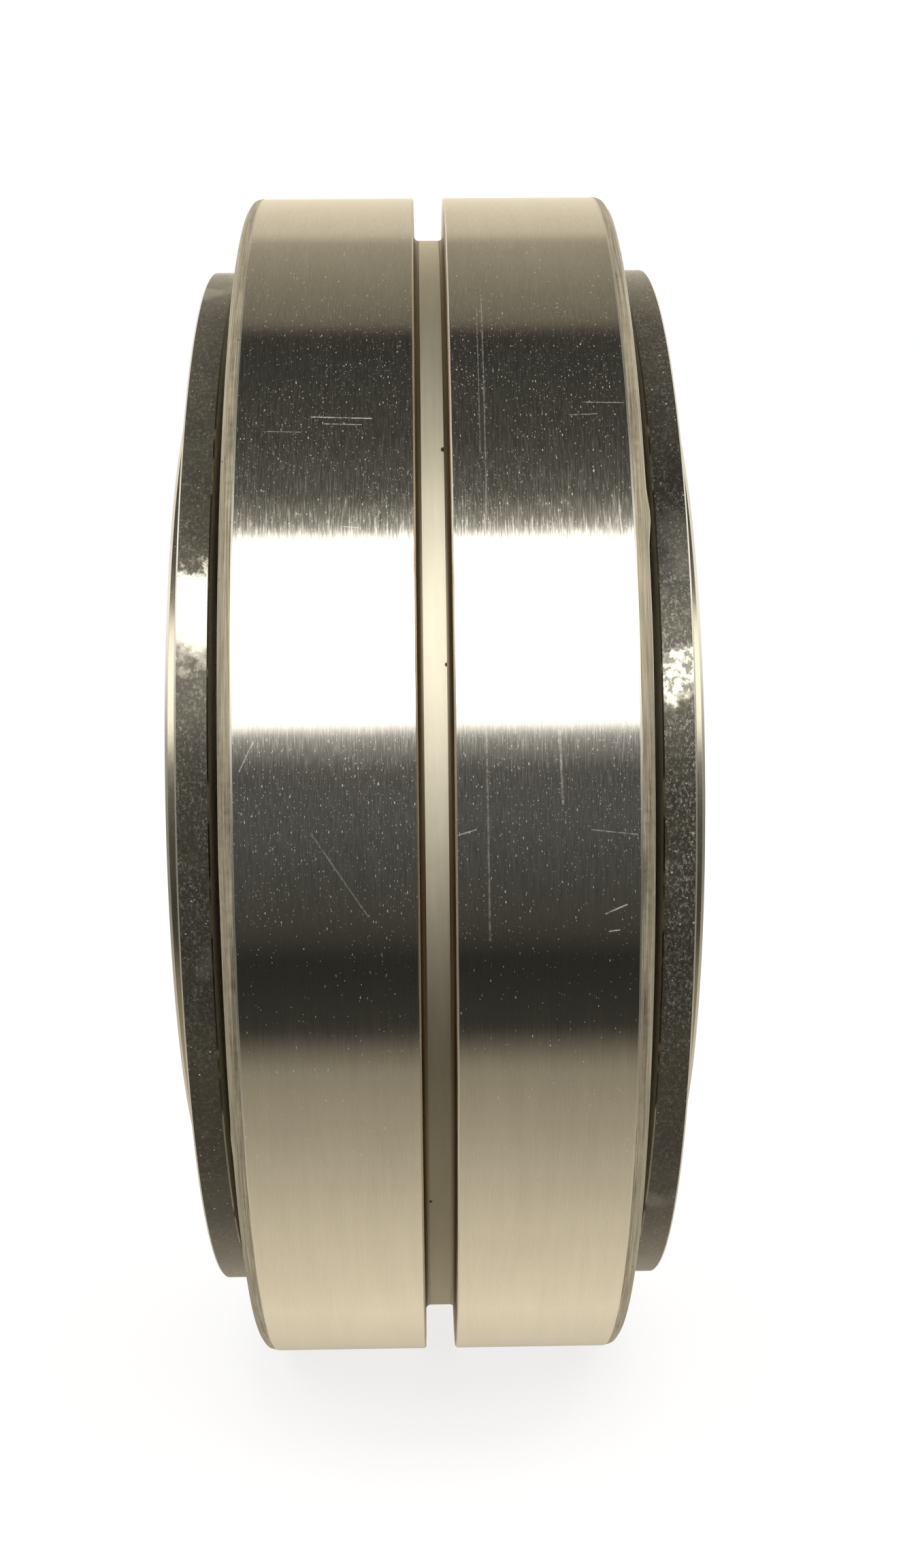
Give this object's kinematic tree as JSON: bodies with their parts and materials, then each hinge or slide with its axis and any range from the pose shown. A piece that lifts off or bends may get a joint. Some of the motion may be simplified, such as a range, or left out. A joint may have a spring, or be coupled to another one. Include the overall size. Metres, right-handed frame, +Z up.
{
  "type": "spherical roller bearing",
  "caption": "Double-row self-aligning roller bearing: grooved outer ring, barrel rollers in window cages, and a wide inner ring projecting past a side washer at each end.",
  "frame": {"origin": "the bearing's centre: on the bearing axis, midway between its side faces", "axes": "+X along the bearing axis, +Z up, with an oil hole of the outer ring at +Z and one at -Z"},
  "size_m": [0.0854, 0.215, 0.215],
  "materials": {
    "ground_steel": "ground",
    "turned_steel": "fine turned",
    "roller_steel": "polished",
    "washer_steel": "dark polished",
    "cage_brass": "machined",
    "guide_steel": "sintered matt"
  },
  "bodies": {
    "outer_ring": {"outer_ring": "ground_steel"},
    "guide_ring": {"guide_ring": "guide_steel"},
    "inner_ring": {"inner_ring": "turned_steel", "side_washer_left": "washer_steel", "side_washer_right": "washer_steel"},
    "cage_left": {"cage_left": "cage_brass"},
    "cage_right": {"cage_right": "cage_brass"},
    "roller_left_01": {"roller_left_01": "roller_steel"},
    "roller_left_02": {"roller_left_02": "roller_steel"},
    "roller_left_03": {"roller_left_03": "roller_steel"},
    "roller_left_04": {"roller_left_04": "roller_steel"},
    "roller_left_05": {"roller_left_05": "roller_steel"},
    "roller_left_06": {"roller_left_06": "roller_steel"},
    "roller_left_07": {"roller_left_07": "roller_steel"},
    "roller_left_08": {"roller_left_08": "roller_steel"},
    "roller_left_09": {"roller_left_09": "roller_steel"},
    "roller_left_10": {"roller_left_10": "roller_steel"},
    "roller_left_11": {"roller_left_11": "roller_steel"},
    "roller_left_12": {"roller_left_12": "roller_steel"},
    "roller_left_13": {"roller_left_13": "roller_steel"},
    "roller_left_14": {"roller_left_14": "roller_steel"},
    "roller_left_15": {"roller_left_15": "roller_steel"},
    "roller_left_16": {"roller_left_16": "roller_steel"},
    "roller_left_17": {"roller_left_17": "roller_steel"},
    "roller_left_18": {"roller_left_18": "roller_steel"},
    "roller_left_19": {"roller_left_19": "roller_steel"},
    "roller_right_01": {"roller_right_01": "roller_steel"},
    "roller_right_02": {"roller_right_02": "roller_steel"},
    "roller_right_03": {"roller_right_03": "roller_steel"},
    "roller_right_04": {"roller_right_04": "roller_steel"},
    "roller_right_05": {"roller_right_05": "roller_steel"},
    "roller_right_06": {"roller_right_06": "roller_steel"},
    "roller_right_07": {"roller_right_07": "roller_steel"},
    "roller_right_08": {"roller_right_08": "roller_steel"},
    "roller_right_09": {"roller_right_09": "roller_steel"},
    "roller_right_10": {"roller_right_10": "roller_steel"},
    "roller_right_11": {"roller_right_11": "roller_steel"},
    "roller_right_12": {"roller_right_12": "roller_steel"},
    "roller_right_13": {"roller_right_13": "roller_steel"},
    "roller_right_14": {"roller_right_14": "roller_steel"},
    "roller_right_15": {"roller_right_15": "roller_steel"},
    "roller_right_16": {"roller_right_16": "roller_steel"},
    "roller_right_17": {"roller_right_17": "roller_steel"},
    "roller_right_18": {"roller_right_18": "roller_steel"},
    "roller_right_19": {"roller_right_19": "roller_steel"}
  },
  "joints": [
    {"name": "misalignment_tilt", "type": "hinge", "parent": "outer_ring", "child": "guide_ring", "pos_m": [0, 0, 0], "axis": [0, 1, 0], "range_deg": [-1.25, 1.25]},
    {"name": "inner_spin", "type": "hinge", "parent": "guide_ring", "child": "inner_ring", "pos_m": [0, 0, 0], "axis": [1, 0, 0], "continuous": true},
    {"name": "cage_left_orbit", "type": "hinge", "parent": "guide_ring", "child": "cage_left", "pos_m": [0, 0, 0], "axis": [1, 0, 0], "continuous": true},
    {"name": "cage_right_orbit", "type": "hinge", "parent": "guide_ring", "child": "cage_right", "pos_m": [0, 0, 0], "axis": [1, 0, 0], "continuous": true},
    {"name": "roller_left_01_spin", "type": "hinge", "parent": "cage_left", "child": "roller_left_01", "pos_m": [-0.015, -0.01352, 0.08102], "axis": [0.9837, -0.0296, 0.1772], "continuous": true},
    {"name": "roller_left_02_spin", "type": "hinge", "parent": "cage_left", "child": "roller_left_02", "pos_m": [-0.015, -0.0391, 0.07224], "axis": [0.9837, -0.0855, 0.158], "continuous": true},
    {"name": "roller_left_03_spin", "type": "hinge", "parent": "cage_left", "child": "roller_left_03", "pos_m": [-0.015, -0.06043, 0.05563], "axis": [0.9837, -0.1322, 0.1217], "continuous": true},
    {"name": "roller_left_04_spin", "type": "hinge", "parent": "cage_left", "child": "roller_left_04", "pos_m": [-0.015, -0.07522, 0.033], "axis": [0.9837, -0.1645, 0.0722], "continuous": true},
    {"name": "roller_left_05_spin", "type": "hinge", "parent": "cage_left", "child": "roller_left_05", "pos_m": [-0.015, -0.08186, 0.00678], "axis": [0.9837, -0.179, 0.0148], "continuous": true},
    {"name": "roller_left_06_spin", "type": "hinge", "parent": "cage_left", "child": "roller_left_06", "pos_m": [-0.015, -0.07963, -0.02016], "axis": [0.9837, -0.1741, -0.0441], "continuous": true},
    {"name": "roller_left_07_spin", "type": "hinge", "parent": "cage_left", "child": "roller_left_07", "pos_m": [-0.015, -0.06877, -0.04493], "axis": [0.9837, -0.1504, -0.0983], "continuous": true},
    {"name": "roller_left_08_spin", "type": "hinge", "parent": "cage_left", "child": "roller_left_08", "pos_m": [-0.015, -0.05045, -0.06482], "axis": [0.9837, -0.1103, -0.1418], "continuous": true},
    {"name": "roller_left_09_spin", "type": "hinge", "parent": "cage_left", "child": "roller_left_09", "pos_m": [-0.015, -0.02667, -0.07769], "axis": [0.9837, -0.0583, -0.1699], "continuous": true},
    {"name": "roller_left_10_spin", "type": "hinge", "parent": "cage_left", "child": "roller_left_10", "pos_m": [-0.015, 0, -0.08214], "axis": [0.9837, 0, -0.1796], "continuous": true},
    {"name": "roller_left_11_spin", "type": "hinge", "parent": "cage_left", "child": "roller_left_11", "pos_m": [-0.015, 0.02667, -0.07769], "axis": [0.9837, 0.0583, -0.1699], "continuous": true},
    {"name": "roller_left_12_spin", "type": "hinge", "parent": "cage_left", "child": "roller_left_12", "pos_m": [-0.015, 0.05045, -0.06482], "axis": [0.9837, 0.1103, -0.1418], "continuous": true},
    {"name": "roller_left_13_spin", "type": "hinge", "parent": "cage_left", "child": "roller_left_13", "pos_m": [-0.015, 0.06877, -0.04493], "axis": [0.9837, 0.1504, -0.0983], "continuous": true},
    {"name": "roller_left_14_spin", "type": "hinge", "parent": "cage_left", "child": "roller_left_14", "pos_m": [-0.015, 0.07963, -0.02016], "axis": [0.9837, 0.1741, -0.0441], "continuous": true},
    {"name": "roller_left_15_spin", "type": "hinge", "parent": "cage_left", "child": "roller_left_15", "pos_m": [-0.015, 0.08186, 0.00678], "axis": [0.9837, 0.179, 0.0148], "continuous": true},
    {"name": "roller_left_16_spin", "type": "hinge", "parent": "cage_left", "child": "roller_left_16", "pos_m": [-0.015, 0.07522, 0.033], "axis": [0.9837, 0.1645, 0.0722], "continuous": true},
    {"name": "roller_left_17_spin", "type": "hinge", "parent": "cage_left", "child": "roller_left_17", "pos_m": [-0.015, 0.06043, 0.05563], "axis": [0.9837, 0.1322, 0.1217], "continuous": true},
    {"name": "roller_left_18_spin", "type": "hinge", "parent": "cage_left", "child": "roller_left_18", "pos_m": [-0.015, 0.0391, 0.07224], "axis": [0.9837, 0.0855, 0.158], "continuous": true},
    {"name": "roller_left_19_spin", "type": "hinge", "parent": "cage_left", "child": "roller_left_19", "pos_m": [-0.015, 0.01352, 0.08102], "axis": [0.9837, 0.0296, 0.1772], "continuous": true},
    {"name": "roller_right_01_spin", "type": "hinge", "parent": "cage_right", "child": "roller_right_01", "pos_m": [0.015, 0, 0.08214], "axis": [0.9837, 0, -0.1796], "continuous": true},
    {"name": "roller_right_02_spin", "type": "hinge", "parent": "cage_right", "child": "roller_right_02", "pos_m": [0.015, -0.02667, 0.07769], "axis": [0.9837, 0.0583, -0.1699], "continuous": true},
    {"name": "roller_right_03_spin", "type": "hinge", "parent": "cage_right", "child": "roller_right_03", "pos_m": [0.015, -0.05045, 0.06482], "axis": [0.9837, 0.1103, -0.1418], "continuous": true},
    {"name": "roller_right_04_spin", "type": "hinge", "parent": "cage_right", "child": "roller_right_04", "pos_m": [0.015, -0.06877, 0.04493], "axis": [0.9837, 0.1504, -0.0983], "continuous": true},
    {"name": "roller_right_05_spin", "type": "hinge", "parent": "cage_right", "child": "roller_right_05", "pos_m": [0.015, -0.07963, 0.02016], "axis": [0.9837, 0.1741, -0.0441], "continuous": true},
    {"name": "roller_right_06_spin", "type": "hinge", "parent": "cage_right", "child": "roller_right_06", "pos_m": [0.015, -0.08186, -0.00678], "axis": [0.9837, 0.179, 0.0148], "continuous": true},
    {"name": "roller_right_07_spin", "type": "hinge", "parent": "cage_right", "child": "roller_right_07", "pos_m": [0.015, -0.07522, -0.033], "axis": [0.9837, 0.1645, 0.0722], "continuous": true},
    {"name": "roller_right_08_spin", "type": "hinge", "parent": "cage_right", "child": "roller_right_08", "pos_m": [0.015, -0.06043, -0.05563], "axis": [0.9837, 0.1322, 0.1217], "continuous": true},
    {"name": "roller_right_09_spin", "type": "hinge", "parent": "cage_right", "child": "roller_right_09", "pos_m": [0.015, -0.0391, -0.07224], "axis": [0.9837, 0.0855, 0.158], "continuous": true},
    {"name": "roller_right_10_spin", "type": "hinge", "parent": "cage_right", "child": "roller_right_10", "pos_m": [0.015, -0.01352, -0.08102], "axis": [0.9837, 0.0296, 0.1772], "continuous": true},
    {"name": "roller_right_11_spin", "type": "hinge", "parent": "cage_right", "child": "roller_right_11", "pos_m": [0.015, 0.01352, -0.08102], "axis": [0.9837, -0.0296, 0.1772], "continuous": true},
    {"name": "roller_right_12_spin", "type": "hinge", "parent": "cage_right", "child": "roller_right_12", "pos_m": [0.015, 0.0391, -0.07224], "axis": [0.9837, -0.0855, 0.158], "continuous": true},
    {"name": "roller_right_13_spin", "type": "hinge", "parent": "cage_right", "child": "roller_right_13", "pos_m": [0.015, 0.06043, -0.05563], "axis": [0.9837, -0.1322, 0.1217], "continuous": true},
    {"name": "roller_right_14_spin", "type": "hinge", "parent": "cage_right", "child": "roller_right_14", "pos_m": [0.015, 0.07522, -0.033], "axis": [0.9837, -0.1645, 0.0722], "continuous": true},
    {"name": "roller_right_15_spin", "type": "hinge", "parent": "cage_right", "child": "roller_right_15", "pos_m": [0.015, 0.08186, -0.00678], "axis": [0.9837, -0.179, 0.0148], "continuous": true},
    {"name": "roller_right_16_spin", "type": "hinge", "parent": "cage_right", "child": "roller_right_16", "pos_m": [0.015, 0.07963, 0.02016], "axis": [0.9837, -0.1741, -0.0441], "continuous": true},
    {"name": "roller_right_17_spin", "type": "hinge", "parent": "cage_right", "child": "roller_right_17", "pos_m": [0.015, 0.06877, 0.04493], "axis": [0.9837, -0.1504, -0.0983], "continuous": true},
    {"name": "roller_right_18_spin", "type": "hinge", "parent": "cage_right", "child": "roller_right_18", "pos_m": [0.015, 0.05045, 0.06482], "axis": [0.9837, -0.1103, -0.1418], "continuous": true},
    {"name": "roller_right_19_spin", "type": "hinge", "parent": "cage_right", "child": "roller_right_19", "pos_m": [0.015, 0.02667, 0.07769], "axis": [0.9837, -0.0583, -0.1699], "continuous": true}
  ],
  "couplings": [
    {"joint": "cage_left_orbit", "follows": "inner_spin", "ratio": 0.43234},
    {"joint": "cage_right_orbit", "follows": "inner_spin", "ratio": 0.43234},
    {"joint": "roller_left_01_spin", "follows": "inner_spin", "ratio": -3.568},
    {"joint": "roller_left_02_spin", "follows": "inner_spin", "ratio": -3.568},
    {"joint": "roller_left_03_spin", "follows": "inner_spin", "ratio": -3.568},
    {"joint": "roller_left_04_spin", "follows": "inner_spin", "ratio": -3.568},
    {"joint": "roller_left_05_spin", "follows": "inner_spin", "ratio": -3.568},
    {"joint": "roller_left_06_spin", "follows": "inner_spin", "ratio": -3.568},
    {"joint": "roller_left_07_spin", "follows": "inner_spin", "ratio": -3.568},
    {"joint": "roller_left_08_spin", "follows": "inner_spin", "ratio": -3.568},
    {"joint": "roller_left_09_spin", "follows": "inner_spin", "ratio": -3.568},
    {"joint": "roller_left_10_spin", "follows": "inner_spin", "ratio": -3.568},
    {"joint": "roller_left_11_spin", "follows": "inner_spin", "ratio": -3.568},
    {"joint": "roller_left_12_spin", "follows": "inner_spin", "ratio": -3.568},
    {"joint": "roller_left_13_spin", "follows": "inner_spin", "ratio": -3.568},
    {"joint": "roller_left_14_spin", "follows": "inner_spin", "ratio": -3.568},
    {"joint": "roller_left_15_spin", "follows": "inner_spin", "ratio": -3.568},
    {"joint": "roller_left_16_spin", "follows": "inner_spin", "ratio": -3.568},
    {"joint": "roller_left_17_spin", "follows": "inner_spin", "ratio": -3.568},
    {"joint": "roller_left_18_spin", "follows": "inner_spin", "ratio": -3.568},
    {"joint": "roller_left_19_spin", "follows": "inner_spin", "ratio": -3.568},
    {"joint": "roller_right_01_spin", "follows": "inner_spin", "ratio": -3.568},
    {"joint": "roller_right_02_spin", "follows": "inner_spin", "ratio": -3.568},
    {"joint": "roller_right_03_spin", "follows": "inner_spin", "ratio": -3.568},
    {"joint": "roller_right_04_spin", "follows": "inner_spin", "ratio": -3.568},
    {"joint": "roller_right_05_spin", "follows": "inner_spin", "ratio": -3.568},
    {"joint": "roller_right_06_spin", "follows": "inner_spin", "ratio": -3.568},
    {"joint": "roller_right_07_spin", "follows": "inner_spin", "ratio": -3.568},
    {"joint": "roller_right_08_spin", "follows": "inner_spin", "ratio": -3.568},
    {"joint": "roller_right_09_spin", "follows": "inner_spin", "ratio": -3.568},
    {"joint": "roller_right_10_spin", "follows": "inner_spin", "ratio": -3.568},
    {"joint": "roller_right_11_spin", "follows": "inner_spin", "ratio": -3.568},
    {"joint": "roller_right_12_spin", "follows": "inner_spin", "ratio": -3.568},
    {"joint": "roller_right_13_spin", "follows": "inner_spin", "ratio": -3.568},
    {"joint": "roller_right_14_spin", "follows": "inner_spin", "ratio": -3.568},
    {"joint": "roller_right_15_spin", "follows": "inner_spin", "ratio": -3.568},
    {"joint": "roller_right_16_spin", "follows": "inner_spin", "ratio": -3.568},
    {"joint": "roller_right_17_spin", "follows": "inner_spin", "ratio": -3.568},
    {"joint": "roller_right_18_spin", "follows": "inner_spin", "ratio": -3.568},
    {"joint": "roller_right_19_spin", "follows": "inner_spin", "ratio": -3.568}
  ]
}
